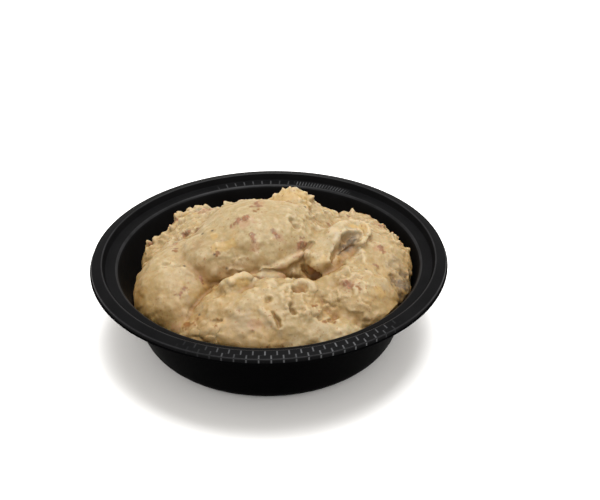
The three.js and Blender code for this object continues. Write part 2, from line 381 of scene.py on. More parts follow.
def bowl_inside():
    """From the middle of the floor, up the wall, over the ledge and the flange, to the lip."""
    lean = math.atan2(MOUTH_RADIUS - FLOOR_RADIUS - FLOOR_CORNER, MOUTH_HEIGHT - WALL - FLOOR_CORNER)
    turn = np.linspace(0, math.pi / 2 - lean, 12)
    corner = np.stack([FLOOR_RADIUS + FLOOR_CORNER * np.sin(turn),
                       WALL + FLOOR_CORNER * (1 - np.cos(turn))], -1)
    wall = wall_line(corner[-1], (MOUTH_RADIUS, MOUTH_HEIGHT))
    centre = np.array([MOUTH_RADIUS + LEDGE_CORNER * math.cos(lean), LEDGE_HEIGHT - LEDGE_CORNER])
    over = np.linspace(lean, math.pi / 2, 8)[1:]
    ledge = centre + LEDGE_CORNER * np.stack([-np.cos(over), np.sin(over)], -1)
    floor = rounded([(0, FLOOR_TOP, 0), (FOOT_INNER_RADIUS - 2, FLOOR_TOP, 2),
                     (FOOT_INNER_RADIUS, WALL, 2), (FLOOR_RADIUS, WALL, 0)])[:-1]
    rim = rounded([(LEDGE_OUTER_RADIUS - 3, LEDGE_HEIGHT, 0), (LEDGE_OUTER_RADIUS, LEDGE_HEIGHT, 0.5),
                   (PEAK_RADIUS - 0.4, PEAK_HEIGHT, 0.7), (FLANGE_RADIUS, RIM_HEIGHT, 0.5),
                   (FLANGE_RADIUS, LIP_HEIGHT, 0.3), (LIP_RADIUS - LIP_CHAMFER, LIP_HEIGHT - 0.1, 0)])
    return np.concatenate([floor, corner, wall[1:], ledge, rim])


def offset_line(line, distance):
    """A line moved sideways by a distance, along the normals of its own segments."""
    along = np.gradient(line, axis=0)
    along /= np.linalg.norm(along, axis=1, keepdims=True)
    return line + distance * np.stack([along[:, 1], -along[:, 0]], -1)


def bowl_section():
    """Both lines joined round the lip into one closed section that starts and ends on the axis."""
    inside = bowl_inside()
    outside = offset_line(inside, WALL)
    outside[0, 0] = 0
    outside[:, 1] = np.where(outside[:, 1] < FOOT_FLATNESS, 0, outside[:, 1])
    edge = [(LIP_RADIUS, LIP_HEIGHT - LIP_CHAMFER), (LIP_RADIUS, LIP_HEIGHT - LIP_THICKNESS)]
    return np.concatenate([inside, edge, outside[::-1]])


# %% Bowl surface
BOWL_COLUMNS = 288
WELD = 0.001  # points closer than this become one


def lathe(section, columns):
    """Section points turned about Z: x = r cos a, y = r sin a. The end rows sit on the axis."""
    angle = np.arange(columns) * 2 * math.pi / columns
    r, z = section[:, :1], section[:, 1:]
    return np.stack([r * np.cos(angle), r * np.sin(angle), z + 0 * angle], -1)


def closed_skin(grid):
    """Points and quads of a wrapped grid whose first and last rows are single points."""
    rows, columns = grid.shape[:2]
    return grid.reshape(-1, 3), grid_faces(rows, columns)


def merge_poles(piece):
    """Welds the gathered end rows into single points, which turns their quads into triangles."""
    mesh = bmesh.new()
    mesh.from_mesh(piece.data)
    bmesh.ops.remove_doubles(mesh, verts=mesh.verts, dist=WELD * MM)
    bmesh.ops.recalc_face_normals(mesh, faces=mesh.faces)
    mesh.to_mesh(piece.data)
    mesh.free()
    piece.data.update()


bowl = mesh_piece("bowl_shell", *closed_skin(lathe(bowl_section(), BOWL_COLUMNS)))
merge_poles(bowl)
shade_smooth(bowl)
print("bowl:", count_triangles(bowl), "triangles")

# %% [markdown]
# Ribs in black plastic
#
# Moulded polypropylene is deep black with a soft gloss. Fine radial ribs stand out by hundredths of a
# millimetre, too little for the mesh, so the material works them out from the angle round the bowl. They
# are drawn only on the flange at the front and on the ledge at the back, where they catch the light, and
# there they also get a painted highlight: a paler colour.

# %% Ribs
RIBS = 100  # that would fit round the whole flange
FINER = 3  # times as many on the ledge, where they are finer


def band(value, rise, full, fall, end):
    """0 up to rise, 1 from full to fall and 0 from end on, in millimetres of a value in metres."""
    return value.clipped(rise * MM, full * MM) * (1 - value.clipped(fall * MM, end * MM))


def rib_and_glint_share(s):
    """1 on a rib, where the angle, counted in ribs and folded to run up and down, is near its top."""
    x, y = s.axis("X"), s.axis("Y")
    reach = (x * x + y * y).with_other("POWER", 0.5)
    turns = y.with_other("ARCTAN2", x) * (RIBS / (2 * math.pi))
    staggered = turns + 0.5 * reach.clipped(89.1 * MM, 89.2 * MM)  # by half a rib near the outer edge
    coarse = staggered.with_other("PINGPONG", 0.5).clipped(0.41, 0.48)
    fine = (FINER * turns).with_other("PINGPONG", 0.5).clipped(0.3, 0.45)
    # ribs, and their painted highlight, only in the arcs where they catch the light
    flange = reach.clipped(86.6 * MM, 87 * MM) * (1 - y.clipped(-75 * MM, -55 * MM))
    ledge = band(reach, 79.5, 80.2, 83.4, 83.8) * y.clipped(50 * MM, 60 * MM)
    left, right = band(x, -30, -22, 12, 16), band(x, 16, 18, 42, 48)
    return coarse * flange * band(x, -45, 0, 50, 62) + ledge * (0.6 * coarse * left + fine * right)


# %% [markdown]
# Three blacks
#
# One black would make the bowl look cut out of paper. Its inside and flange have a soft gloss with
# handling haze, so their roughness drifts slowly and a faint bump breaks the mirror. The outside, which
# lies in its own shade, gets painted shade: a deeper, more even black. The turned edges of the rim get a
# painted highlight: a paler black where they catch the light. The light that they throw back is kept
# low, as it is on a thin, slightly dulled moulding.

# %% Bowl materials
def gloss_black():
    """The inside, the ledge and the flange, with a painted highlight that makes the ribs paler than the
    rest.
    """
    s = Shader("black_gloss_plastic")
    haze = s.noise(60, 4, 0.6)
    grain = s.noise(2500, 2, 0.5, seed=3)
    scuffs = s.noise(400, 5, 0.7, seed=7)
    roughness = 0.42 + 0.12 * haze + 0.08 * scuffs.clipped(0.55, 0.75)
    colour = s.mix(haze.clipped(0.3, 0.7), rgb(0.0025, 0.0025, 0.0027), rgb(0.0042, 0.0042, 0.0045))
    ribs = rib_and_glint_share(s)
    glint_strength = s.noise(150, 2, 0.5, seed=5).clipped(0.3, 0.6)
    # painted highlight: the ribs paler where they catch the light
    colour = s.mix(ribs * (0.3 + 0.7 * glint_strength), colour, rgb(0.075, 0.077, 0.08))
    normal = s.bump(grain + 0.6 * haze + 8 * ribs, 0.02, 0.5)
    return s.finish(Base_Color=colour, Roughness=roughness, Normal=normal, IOR=1.49,
                    Specular_IOR_Level=0.015)


def shaded_satin_black():
    """The outside below the lip, with painted shade: a deeper black that reflects less."""
    s = Shader("black_satin_painted_shade")
    haze = s.noise(45, 4, 0.6, seed=11)
    grain = s.noise(1800, 2, 0.5, seed=12)
    colour = s.mix(haze.clipped(0.3, 0.7), rgb(0.0002, 0.0002, 0.0003), rgb(0.0004, 0.0004, 0.0005))
    normal = s.bump(grain, 0.03, 0.5)
    return s.finish(Base_Color=colour, Roughness=0.38 + 0.1 * haze, Normal=normal, IOR=1.49,
                    Specular_IOR_Level=0.006)


def highlight_edge_black():
    """The turned edges of the rim, with a painted highlight: paler and glossier where they catch the
    light.
    """
    s = Shader("black_edge_painted_highlight")
    wear_and_sheen = s.noise(90, 4, 0.6, seed=21)
    colour = s.mix(wear_and_sheen.clipped(0.4, 0.6), rgb(0.006, 0.006, 0.0065), rgb(0.011, 0.011, 0.012))
    return s.finish(Base_Color=colour, Roughness=0.25 + 0.2 * wear_and_sheen, IOR=1.49, Specular_IOR_Level=0.06)


# %% Which black goes where
GLOSS, SATIN, EDGE = 0, 1, 2
FACES_DOWN = -0.5  # the upward share of a face's normal, below which it belongs to the underside
PEAK_WIDTH, PEAK_DEPTH = 0.9, 0.35  # of the painted highlight band on the flange's peak
RIM_WIDTH, RIM_DEPTH = 0.4, 0.45  # of the one round its outer edge
MOUTH_FROM, MOUTH_TO = 0.4, 1.7  # of the one where the wall turns into the ledge, out from the mouth


def paint_bowl(piece):
    """Satin with painted shade on the outside below the lip, a painted highlight on the three turned
    edges, and gloss on the rest.
    """
    polygons = piece.data.polygons
    centre, facing = vectors_of(polygons, "center") / MM, vectors_of(polygons, "normal")
    reach, z = np.hypot(centre[:, 0], centre[:, 1]), centre[:, 2]
    outwards = (centre[:, :2] * facing[:, :2]).sum(-1) > 0
    outside = (z < LIP_HEIGHT) & (outwards | (facing[:, 2] < FACES_DOWN))
    peak = (np.abs(reach - PEAK_RADIUS) < PEAK_WIDTH) & (z > PEAK_HEIGHT - PEAK_DEPTH)
    rim = (reach > FLANGE_RADIUS - RIM_WIDTH) & (np.abs(z - RIM_HEIGHT) < RIM_DEPTH)
    past_mouth = reach - MOUTH_RADIUS
    mouth = (past_mouth > MOUTH_FROM) & (past_mouth < MOUTH_TO) & (z > MOUTH_HEIGHT) & ~outwards
    chosen = np.where(outside, SATIN, np.where(peak | rim | mouth, EDGE, GLOSS))
    polygons.foreach_set("material_index", chosen.astype(np.int32))
    # faces that get the painted highlight
    print("painted highlight edges:", np.count_nonzero(chosen == EDGE), "of", len(chosen), "faces")


for black in (gloss_black(), shaded_satin_black(), highlight_edge_black()):
    bowl.data.materials.append(black)
paint_bowl(bowl)

# %% [markdown]
# The scoops
#
# Mash is spooned in, so the heap is two dozen rounded scoops that press into each other. Each is an
# ellipsoid that slow waves make uneven. Sculpting would reach the same look by hand, but a formula
# keeps the surfaces close to the plain solid that they replace.

# %% Scoop table
# Each scoop: name, centre, three radii, its turns about Z and Y in degrees, how uneven it is, and how
# softly it runs into its neighbours (0 keeps a crease).
SCOOPS = [
    ("bed", (0, 0, 14.3), (78, 78, 21), (0, 0), 0, 1),
    ("core", (0, 2, 33), (50, 44, 19), (0, 0), 0, 1),
    ("top", (-6, 1, 48), (34, 30, 24.5), (0, -8), 0.03, 1),
    ("top_left", (-23, -11.5, 47), (24, 18.5, 17), (0, 0), 0.03, 1),
    ("back", (12, 24, 49.5), (18, 14, 18.5), (0, -12), 0.05, 1),
    ("shoulder", (26, 22, 42), (14, 18, 17), (0, 0), 0.05, 1),
    ("back_right", (44, 22, 33.3), (27, 25, 18), (0, 5), 0.05, 1),
    ("back_left", (-32, 20, 38), (25, 26, 19), (0, 0), 0.05, 1),
    ("left_far", (-50, 8, 34), (18, 20, 16), (0, 0), 0.05, 1),
    ("left", (-44.5, -15, 32.5), (23, 36, 23.5), (-12, 0), 0.03, 1),
    ("left_low", (-33, -45, 24.3), (22, 20, 17), (0, 0), 0.04, 1),
    ("front", (-3, -44, 34), (38, 25, 19), (0, 0), 0.04, 0.1),
    ("apron", (14, -50, 24), (30, 26, 21), (0, 0), 0.04, 0.8),
    ("crest", (-16, -37.5, 47), (11, 8.5, 9), (20, 0), 0.06, 0.5),
    ("rim_of_crater", (17, -38.5, 43), (13, 9, 9), (-10, 0), 0.06, 0.4),
    ("bits", (-1, -31, 47), (10, 6, 6.5), (0, 0), 0.06, 0.4),
    ("front_right", (41, -34, 34.3), (26, 25, 19), (0, 0), 0.05, 0.4),
    ("front_fill", (31, -58, 27), (18, 17, 17), (0, 0), 0.04, 0.7),
    ("right", (46.5, -2, 35), (28, 31, 21.5), (0, 0), 0.05, 1),
    ("right_low", (55, -21, 31), (21, 20, 15), (0, 0), 0.04, 1),
    ("smear", (37.5, -4, 53), (19, 12, 10), (38, -4), 0.06, 0.2),
    ("smear_end", (26.5, -20, 52), (9, 9, 8.5), (0, 0), 0.04, 0),
    ("rear", (-6, 41, 24), (34, 23, 17), (0, 0), 0.05, 1),
    ("rear_right", (35, 39, 22), (24, 21, 17), (0, 0), 0.05, 1),
    ("rear_left", (-40, 36, 19), (24, 21, 17), (0, 0), 0.05, 1),
]


# %% Scoop surface
GOLDEN_ANGLE = math.pi * (3 - math.sqrt(5))
SLOW_WAVES, QUICK_WAVES = 2.6, 6  # radians of a sine from the middle of a scoop to its skin
SINES = 6
SCOOP_EDGE = 1.3  # length of a grid's longest edges
FEWEST_COLUMNS = 24


def waves(direction, radians, seed):
    """The mean of six sines of direction, whose own directions the golden angle spreads.

    The uneven factors of the seed and of i only keep the scoops and their sines out of step."""
    total = 0
    for i in range(SINES):
        turn = GOLDEN_ANGLE * (i + 1) * (seed * 1.7 + 1)
        z = 1 - 2 * (i + 0.5) / SINES
        r = math.sqrt(1 - z * z)
        along = direction @ np.array([r * math.cos(turn), r * math.sin(turn), z])
        total = total + np.sin(along * radians + seed * 2.1 + i * 1.3)
    return total / SINES


def swelling(direction, uneven, seed):
    """1 + unevenness x (slow waves + half the quick ones)."""
    slow = waves(direction, SLOW_WAVES, seed)
    quick = waves(direction, QUICK_WAVES, seed + 3)
    return 1 + uneven * (slow + 0.5 * quick)


def turn_matrix(about_z, about_y=0):
    """A turn about Y and then about Z, both in degrees."""
    z, y = math.radians(about_z), math.radians(about_y)
    return np.array(Matrix.Rotation(z, 3, "Z") @ Matrix.Rotation(y, 3, "Y"))


def scoop_surface(scoop, seed):
    """Directions on a latitude and longitude grid, swollen, stretched, turned and placed."""
    name, centre, radii, turn, uneven, softness = scoop
    columns = max(FEWEST_COLUMNS, round(2 * math.pi * max(radii) / SCOOP_EDGE))
    rows = columns // 2 + 1
    polar = np.linspace(0, math.pi, rows)[:, None]
    around = (np.arange(columns) * 2 * math.pi / columns)[None, :]
    direction = np.stack([np.sin(polar) * np.cos(around), np.sin(polar) * np.sin(around),
                          np.cos(polar) + 0 * around], -1)
    scaled = direction * swelling(direction, uneven, seed)[..., None] * np.array(radii)
    return scaled @ turn_matrix(*turn).T + np.array(centre)


# %% Fuse the heap
VOXEL = 0.66  # edge of the cells that the remesh works in


def heap_skins():
    """All scoops as one array of points and one of quads, still overlapping."""
    points, quads, used = [], [], 0
    for number, scoop in enumerate(SCOOPS):
        skin_points, skin_quads = closed_skin(scoop_surface(scoop, number + 1))
        points.append(skin_points)
        quads.append(skin_quads + used)
        used += len(skin_points)
    return np.concatenate(points), np.concatenate(quads)


heap = mesh_piece("mash_heap", *heap_skins())
merge_poles(heap)
fuse = heap.modifiers.new("fuse", "REMESH")
fuse.mode = "VOXEL"
fuse.voxel_size = VOXEL * MM
apply_modifiers(heap)
print("heap fused:", count_triangles(heap), "triangles")

# %% [markdown]
# Inside the bowl
#
# The heap must fill the bowl without touching it. Points beyond the wall are drawn back to it, and
# points below the floor are lifted, so the underside takes the bowl's own shape.

# %% Fit the heap to the bowl
MASH_GAP = 0.35  # stands for contact


def free_radius(height):
    """The bowl's inner radius at each height, less the gap, read off the section by interpolation."""
    inside = bowl_inside()
    reach = inside[:, 0]
    wall = inside[(reach >= FLOOR_RADIUS - 0.01) & (reach <= MOUTH_RADIUS + 0.3)]
    return np.interp(height, wall[:, 1], wall[:, 0]) - MASH_GAP


def keep_in_bowl(points):
    """Pulls each point to the free radius of its height and lifts it off the floor."""
    kept = points.copy()
    kept[:, 2] = np.maximum(kept[:, 2], FLOOR_TOP + MASH_GAP)
    reach = np.hypot(kept[:, 0], kept[:, 1])
    shrink = np.minimum(1, free_radius(kept[:, 2]) / np.maximum(reach, 1e-6))
    kept[:, :2] *= shrink[:, None]
    return kept


loose = points_of(heap)
fitted = keep_in_bowl(loose)
move_points(heap, fitted)
print("drawn into the bowl by up to", round(np.linalg.norm(fitted - loose, axis=-1).max(), 1), "mm")

# %% [markdown]
# Thin out what is hidden
#
# Half of the heap's skin lies against the bowl where nobody sees it. A Decimate modifier guided by a
# vertex group spends its cuts there, and leaves the fine triangles for the visible top.

# %% Decimate the underside
HEAP_TRIANGLES = 190000
TOUCHING = 0.05  # of the free radius
LOWEST_SHOWN = 34  # height above which the mash can show, even against the wall
FLOOR_LAYER = 0.6
CUTS_BELOW = 10  # how much more the cuts favour what is hidden


def is_hidden(points):
    """True where the mash lies against the bowl's wall or floor."""
    reach, z = np.hypot(points[:, 0], points[:, 1]), points[:, 2]
    at_wall = (free_radius(z) - reach < TOUCHING) & (z < LOWEST_SHOWN)
    return at_wall | (z < FLOOR_TOP + FLOOR_LAYER)


def thin_out(piece, keep):
    """Leaves a share of the triangles, and takes the rest from the hidden points first."""
    group = piece.vertex_groups.new(name="hidden")
    hidden = np.nonzero(is_hidden(points_of(piece)))[0]
    group.add(hidden.tolist(), 1.0, "REPLACE")
    cut = piece.modifiers.new("thin", "DECIMATE")
    cut.ratio = keep
    cut.vertex_group = "hidden"
    cut.vertex_group_factor = CUTS_BELOW
    apply_modifiers(piece)
    piece.vertex_groups.clear()


before = count_triangles(heap)
thin_out(heap, min(1, HEAP_TRIANGLES / before))
print("heap thinned:", before, "to", count_triangles(heap), "triangles")

# %% [markdown]
# Softening the creases
#
# Mash slumps together where scoops press, above all at the back of this heap. Averaging each point with
# its neighbours over and over spreads it out like heat, and doing that only near the soft creases fills
# them while the scoops keep their size.

# %% Neighbour averages
def averaged(piece, values, rounds):
    """Values per vertex, each replaced by the mean of its neighbours' values, over and over."""
    ends = np.empty(len(piece.data.edges) * 2, np.int32)
    piece.data.edges.foreach_get("vertices", ends)
    one, other = ends[0::2], ends[1::2]
    count = len(values)
    degree = np.maximum(np.bincount(one, minlength=count) + np.bincount(other, minlength=count), 1)
    for _ in range(rounds):
        columns = [np.bincount(one, column[other], count) + np.bincount(other, column[one], count)
                   for column in values.T]
        values = np.stack(columns, -1) / degree[:, None]
    return values


# %% How softly scoops meet
SOFT_REACH = 7  # how far from a crease the softening reaches
SOFT_ROUNDS = 160
BLUR_ROUNDS = 6  # for the edge of the softened places
SOFT_FROM_Y, SOFT_TO_Y = -22, 4  # behind this stretch nearly every crease is soft
# Pairs that don't follow the rule that the harder of the two decides.
PAIRS = {
    ("smear", "smear_end"): 1, ("top", "back"): 0.6, ("left", "left_low"): 1, ("top", "left"): 0.5,
    ("top", "smear"): 0.8, ("top", "smear_end"): 0.4, ("top_left", "left"): 0.3,
    ("front_right", "right"): 1, ("front_right", "rim_of_crater"): 0.6, ("front", "apron"): 1,
    ("apron", "front_fill"): 1,
}


def softness_table():
    """A square table of how softly each scoop meets each other one."""
    names = [scoop[0] for scoop in SCOOPS]
    softness = np.array([scoop[5] for scoop in SCOOPS], float)
    table = np.minimum(softness[:, None], softness[None, :])
    for (one, other), value in PAIRS.items():
        i, k = names.index(one), names.index(other)
        table[i, k] = table[k, i] = value
    return table


def depths_of(points):
    """A row per scoop: how far each point lies outside it, (|q| - 1) x the scoop's mean radius."""
    rows = []
    for name, centre, radii, turn, uneven, softness in SCOOPS:
        q = (points - np.array(centre)) @ turn_matrix(*turn) / np.array(radii)
        rows.append((np.linalg.norm(q, axis=-1) - 1) * np.cbrt(np.prod(radii)))
    return np.stack(rows)


def creases(points):
    """How far beyond the nearest scoop the next one lies, and how softly those two meet."""
    depths = depths_of(points)
    column = np.arange(len(points))
    first, second = np.argsort(depths, axis=0)[:2]
    softness = softness_table()[first, second]
    back = smoothstep(SOFT_FROM_Y, SOFT_TO_Y, points[:, 1])
    back = np.where(softness == PAIRS["top", "back"], 0, back)  # that crease keeps its own softness
    return depths[second, column] - depths[first, column], np.maximum(softness, back)


# %% Soften
at = points_of(heap)
shown = 1.0 - is_hidden(at)
apart, softness = creases(at)
share = softness * np.exp(-((apart / SOFT_REACH) ** 2)) * shown
share = averaged(heap, share[:, None], BLUR_ROUNDS)
move_points(heap, keep_in_bowl(at + share * (averaged(heap, at, SOFT_ROUNDS) - at)))
print("softened:", round(100 * share.mean()), "% of the heap")

# %% [markdown]
# Relief
#
# The fused heap is still too tidy. Each point now moves along its normal: down into the creases that
# stay, up and down over soft lumps, over the ragged edges of torn layers and over grain. Displacement of
# real points is kept by every renderer and every export, where bump alone is not. How rough mash is
# depends on the place: the spoon smooths some of it, and some tears or crumbles.

# %% Smooth, torn and ragged places
# Each place: centre and radius.
SMOOTHED = [
    ((-12, -8, 68), 18),
    ((-42, -30, 56), 20),
    ((-10, -58, 48), 14),
    ((26, -22, 60), 7),
]
TORN = [
    ((18, -50, 50), 15),
    ((30, -46, 46), 10),
    ((14, -32, 52), 8),
    ((38, -34, 52), 8),
    ((24, 14, 62), 9),
    ((-44, 6, 50), 9),
]
# Crumbly tops, whose teeth stand out against what is behind.
RAGGED = [
    ((-42, 26, 52), 14),
    ((-58, 12, 46), 13),
    ((-68, -6, 42), 10),
    ((-22, 20, 64), 11),
    ((-4, 26, 66), 9),
    ((12, 27, 68), 9),
    ((28, 28, 58), 12),
    ((26, 36, 54), 12),
    ((42, 34, 50), 15),
    ((58, 24, 47), 14),
    ((68, 6, 46), 11),
    ((71, -14, 44), 10),
]


# %% Relief helpers
def crease_share(points, width):
    """1 where a sharp crease stays between two scoops, 0 away from it."""
    apart, softness = creases(points)
    return (1 - softness) * np.exp(-((apart / width) ** 2))


def carve(points, normals, centre, radii, turn):
    """How far a point sinks along its normal to leave an ellipsoid: the far root of a quadratic."""
    axes = turn_matrix(*turn)
    o = (points - np.array(centre)) @ axes / np.array(radii)
    d = -normals @ axes / np.array(radii)
    a = (d * d).sum(-1)
    b = (o * d).sum(-1)
    c = (o * o).sum(-1) - 1
    root = np.sqrt(np.maximum(b * b - a * c, 0))
    return np.where(c < 0, np.minimum((root - b) / a, min(radii)), 0)


def warped(points, amount, size, seed):
    """Points pushed about by three noises: the edge of anything drawn with them wanders."""
    return points + amount * np.stack([layered(points, size, 2, seed + n) for n in range(3)], -1)


def near_places(points, places, inner, outer):
    """1 within inner x the radius of any of the places, 0 beyond outer x the radius."""
    share = np.zeros(len(points))
    for centre, radius in places:
        reach = np.linalg.norm(points - np.array(centre), axis=-1) / radius
        share = np.maximum(share, smoothstep(outer, inner, reach))
    return share


# %% Sum of the relief
LEVEL = 0.35  # taken off again, so that the heap doesn't grow


def relief(points, rough, torn, ragged):
    """Noises of eight kinds, each times how much a place has of it, in millimetres along the normal.

    A pillow or a crumb is the absolute value of a noise, which turns its zero lines into sharp
    valleys. A step is a noise pressed to two levels, and a tooth is its positive part, sharpened."""
    bent = warped(points, 2.4, 7, 101)
    crease = crease_share(bent, 2.2)
    lumps = layered(bent, 19, 3, seed=41)
    soft = layered(bent, 6.5, 2, seed=45)
    small = layered(points, 3.2, 2, seed=47)
    pillows = 3 * np.abs(layered(warped(points, 1.2, 6, 105), 9, 3, seed=5, keep=0.6)) - 0.6
    steps = smoothstep(-0.04, 0.04, layered(bent, 13, 4, seed=21) - 0.1)
    crumbs = 3 * np.abs(layered(points, 4.6, 2, seed=7, keep=0.6)) - 0.6
    teeth = np.maximum(0, layered(points, 4.2, 2, seed=51)) ** 1.3
    total = -0.9 * crease + 1.9 * lumps + 0.8 * soft
    total += (0.1 + 0.2 * rough + 0.25 * torn) * small
    total += (0.15 + 0.25 * rough + 0.75 * torn) * pillows
    total += (0.6 * rough + 0.7 * torn) * steps
    total += (0.05 + 0.12 * rough + 0.25 * torn + 0.8 * ragged) * crumbs
    total += (0.2 * rough + 5 * ragged) * teeth
    return total - LEVEL


def grain(points, rough):
    """Fine grain that goes on last, stronger where the mash is rough."""
    return (0.12 + 0.12 * rough) * layered(points, 2.2, 2, seed=31)


# %% [markdown]
# Marks of the spoon
#
# A few larger marks give the heap its face: the lip under the top scoop, the pocket in the smear, a
# crater and some pits. Each is a path seen from above; its height comes from the heap itself, and the
# surface near the path rises or sinks by a soft bell or drops over a sharper edge. The deepest three
# are ellipsoids carved out of the heap.

# %% Table of marks
# Each hollow: its centre, radii, turns about Z and Y in degrees, and how much painted shade darkens its
# inside.
HOLLOWS = [
    ((21, -27.5, 49.5), (9, 4.5, 3.6), (0, 12), 1),  # the gap under the lip
    ((40, -16, 59.5), (14, 6, 6.5), (54, -12), 0.1),  # the pocket in the smear
    ((15, -43, 53), (5.5, 4, 4.5), (20, 0), 0.4),  # the crater
]
# Each mark: its path seen from above, its half width, its rise (a drop if negative) and its sharpness,
# from 0 for a soft bell to 1 for a steep edge. A place with three numbers gives its own height.
MARKS = [
    # the lip under the top scoop, and its right lip and left bank
    ([(-2, -28, 53), (5, -27, 54), (11, -24, 55.5), (16, -21.5, 56.5), (19, -20, 57)], 2.2, 1.8, 0.5),
    ([(44, 4), (50, 3), (52, -2), (50, -7), (47, -12)], 1.8, 2.2, 0.1),
    ([(33, -12), (34, -5), (40, 2)], 3.5, 1, 0.2),
    ([(9, -35), (13, -37), (19, -37), (22, -43)], 2.6, 0.9, 0.1),  # the crater's rim
    ([(15.5, -44)], 1.4, -1.6, 0.1),
    ([(-1, -52)], 2.2, -2, 0.5),  # a round pit
    ([(1.5, -59), (3.5, -61.5), (4.5, -64)], 1.2, -2, 0.3),  # a curved slit
    ([(11, -55), (12, -57)], 1.7, -2, 0.2),
    ([(-4, -57), (0, -60), (2, -64)], 2.2, 1, 0.2),
    ([(-52, -22), (-48, -25), (-44, -24)], 1.5, -0.9, 0.3),  # a shallow groove on the left
    ([(-27, -58), (-24, -58.5)], 1.3, -1.1, 0.3),
    ([(-9, -66)], 1.4, -1.2, 0.3),
    ([(29, -57), (31, -55)], 2, -1.6, 0.2),
    ([(14.5, -9), (13, -7)], 2.2, -1.8, 0.3),  # a pit near the top
    ([(-19, -41), (-13, -37), (-8, -36)], 2.4, 1.6, 0.4),  # the crest
    ([(-13.5, -19.5)], 4.5, 1.2, 0),  # a lump low on the top scoop
    ([(-9, -20), (-6, -26)], 3, 0.7, 0),
    ([(-34, -57, 37), (-20, -64, 36), (-4, -68, 36)], 6.5, 4, 0),  # mash slumped against the wall
]


# %% Following a path
def height_at(points, x, y, among=16):
    """The highest of the few points of the heap that lie nearest to a place seen from above."""
    apart = np.hypot(points[:, 0] - x, points[:, 1] - y)
    return points[np.argpartition(apart, among)[:among], 2].max()


def off_path(points, path):
    """Each point's distance from a path through space: the least over its segments."""
    least = np.full(len(points), np.inf)
    for start, end in zip(path, path[1:] if len(path) > 1 else path):
        way = end - start
        t = np.clip((points - start) @ way / max(way @ way, 1e-9), 0, 1)
        least = np.minimum(least, np.linalg.norm(points - start - t[:, None] * way, axis=-1))
    return least


def path_over(points, plan):
    """A path in space: a place seen from above gets the heap's own height there."""
    places = [place if len(place) == 3 else (*place, height_at(points, *place)) for place in plan]
    return np.array(places, float)


def marks_rise(points):
    """The sum of all marks: each its height on its path, run down to 0 beyond its half width."""
    bent = warped(points, 1.1, 4, 121)
    rise = np.zeros(len(points))
    for plan, width, height, sharpness in MARKS:
        reach = off_path(bent, path_over(points, plan)) / width
        rise += height * smoothstep(1 + (1 - sharpness) * 0.6, sharpness * 0.8, reach)
    return rise


# %% Roughness of each place
at = points_of(heap)
out = normals_of(heap)
wander = warped(at, 5, 9, 62)
torn = near_places(wander, TORN, 0.6, 1.1)
smoothed = near_places(wander, SMOOTHED, 0.6, 1.15) * (1 - torn)
rough = smoothstep(-0.3, 0.35, layered(at, 22, 2, seed=61)) * (1 - smoothed)
backwards = smoothstep(-0.15, 0.35, out[:, 1] + 0.3 * np.abs(out[:, 0]))
ragged = near_places(wander, RAGGED, 0.5, 1.1) * backwards
print("rough", rough.mean().round(2), "torn", torn.mean().round(2), "ragged", ragged.mean().round(2))

# %% Raise and carve
rise = relief(at, rough, torn, ragged)
recess_shade = np.zeros(len(at))
# the last number of each hollow: how much painted shade its inside gets
for centre, radii, turn, brown in HOLLOWS:
    dug = carve(warped(at, 1.4, 5, 111), out, centre, radii, turn)
    rise -= dug
    recess_shade = np.maximum(recess_shade, brown * smoothstep(0.2, 2.5, dug))
move_points(heap, keep_in_bowl(at + out * (rise * shown)[:, None]))
at = points_of(heap)
marks = marks_rise(at)
move_points(heap, keep_in_bowl(at + normals_of(heap) * (marks * shown)[:, None]))
at = points_of(heap)
move_points(heap, keep_in_bowl(at + normals_of(heap) * (grain(at, rough) * shown)[:, None]))
shade_smooth(heap)
print("relief from", round(rise.min(), 2), "to", round(rise.max(), 2), "mm")

# %% [markdown]
# Hollow and crest, for painted shade and highlight
#
# Shade is painted into the mash as colour: its hollows get a darker brown, and its crests a paler cream
# as a painted highlight. How hollow a place is can be read off the mesh: average each point with its
# neighbours many times over, and compare. A few rounds find pits, many find the valleys between scoops.
# Steep sides and the low parts by the wall get painted shade of their own, warmer and darker than the
# top, so they get numbers of their own. A material could guess at none of this from its own maths, so
# each is stored on the mesh.

# %% Storing numbers on the mesh
def store(piece, name, values):
    """A number per vertex that the material can read."""
    layer = piece.data.attributes.new(name, "FLOAT", "POINT")
    layer.data.foreach_set("value", np.ascontiguousarray(values, dtype=np.float32))


def hollowness(piece, rounds):
    """How far a point lies below the average of its surroundings, in millimetres."""
    at = points_of(piece)
    return ((averaged(piece, at, rounds) - at) * normals_of(piece)).sum(-1)


# %% Hollows and crests
PIT_ROUNDS, DENT_ROUNDS, VALLEY_ROUNDS = 12, 90, 420
pit = hollowness(heap, PIT_ROUNDS)
dent = hollowness(heap, DENT_ROUNDS)
valley_shade = hollowness(heap, VALLEY_ROUNDS)
# painted shade in pits, dents and valleys
store(heap, "hollow_shade", smoothstep(0.05, 0.6, pit) * 0.45 + smoothstep(0.3, 2.4, dent) * 0.55)
store(heap, "valley_shade", smoothstep(0.2, 4, valley_shade))
# painted highlight: crests paler
store(heap, "crest", smoothstep(0.04, 0.4, -pit))
store(heap, "recess_shade", recess_shade)
store(heap, "coarse", np.clip(0.25 * rough + 0.8 * torn + 0.8 * ragged, 0, 1))
print("deepest pit, dent and valley:", [round(kind.max(), 1) for kind in (pit, dent, valley_shade)], "mm")

# %% Sides and low parts
# painted shade on the low parts by the wall and on steep sides
unshaded_near_right = smoothstep(0, 14, at[:, 0]) * smoothstep(-50, -62, at[:, 1])  # the near right gets no painted shade
low_shade_share = (1 - unshaded_near_right) * (0.35 + 0.65 * smoothstep(45, 0, at[:, 1]))  # and the back gets only part of it
low = smoothstep(58, 40, at[:, 2]) * low_shade_share
facing = averaged(heap, normals_of(heap), PIT_ROUNDS)
side = smoothstep(0.8, 0.1, facing[:, 2] / np.linalg.norm(facing, axis=-1))
store(heap, "low", low)
store(heap, "side", side)
print("low:", round(100 * low.mean()), "% of the heap; steep:", round(100 * side.mean()), "%")
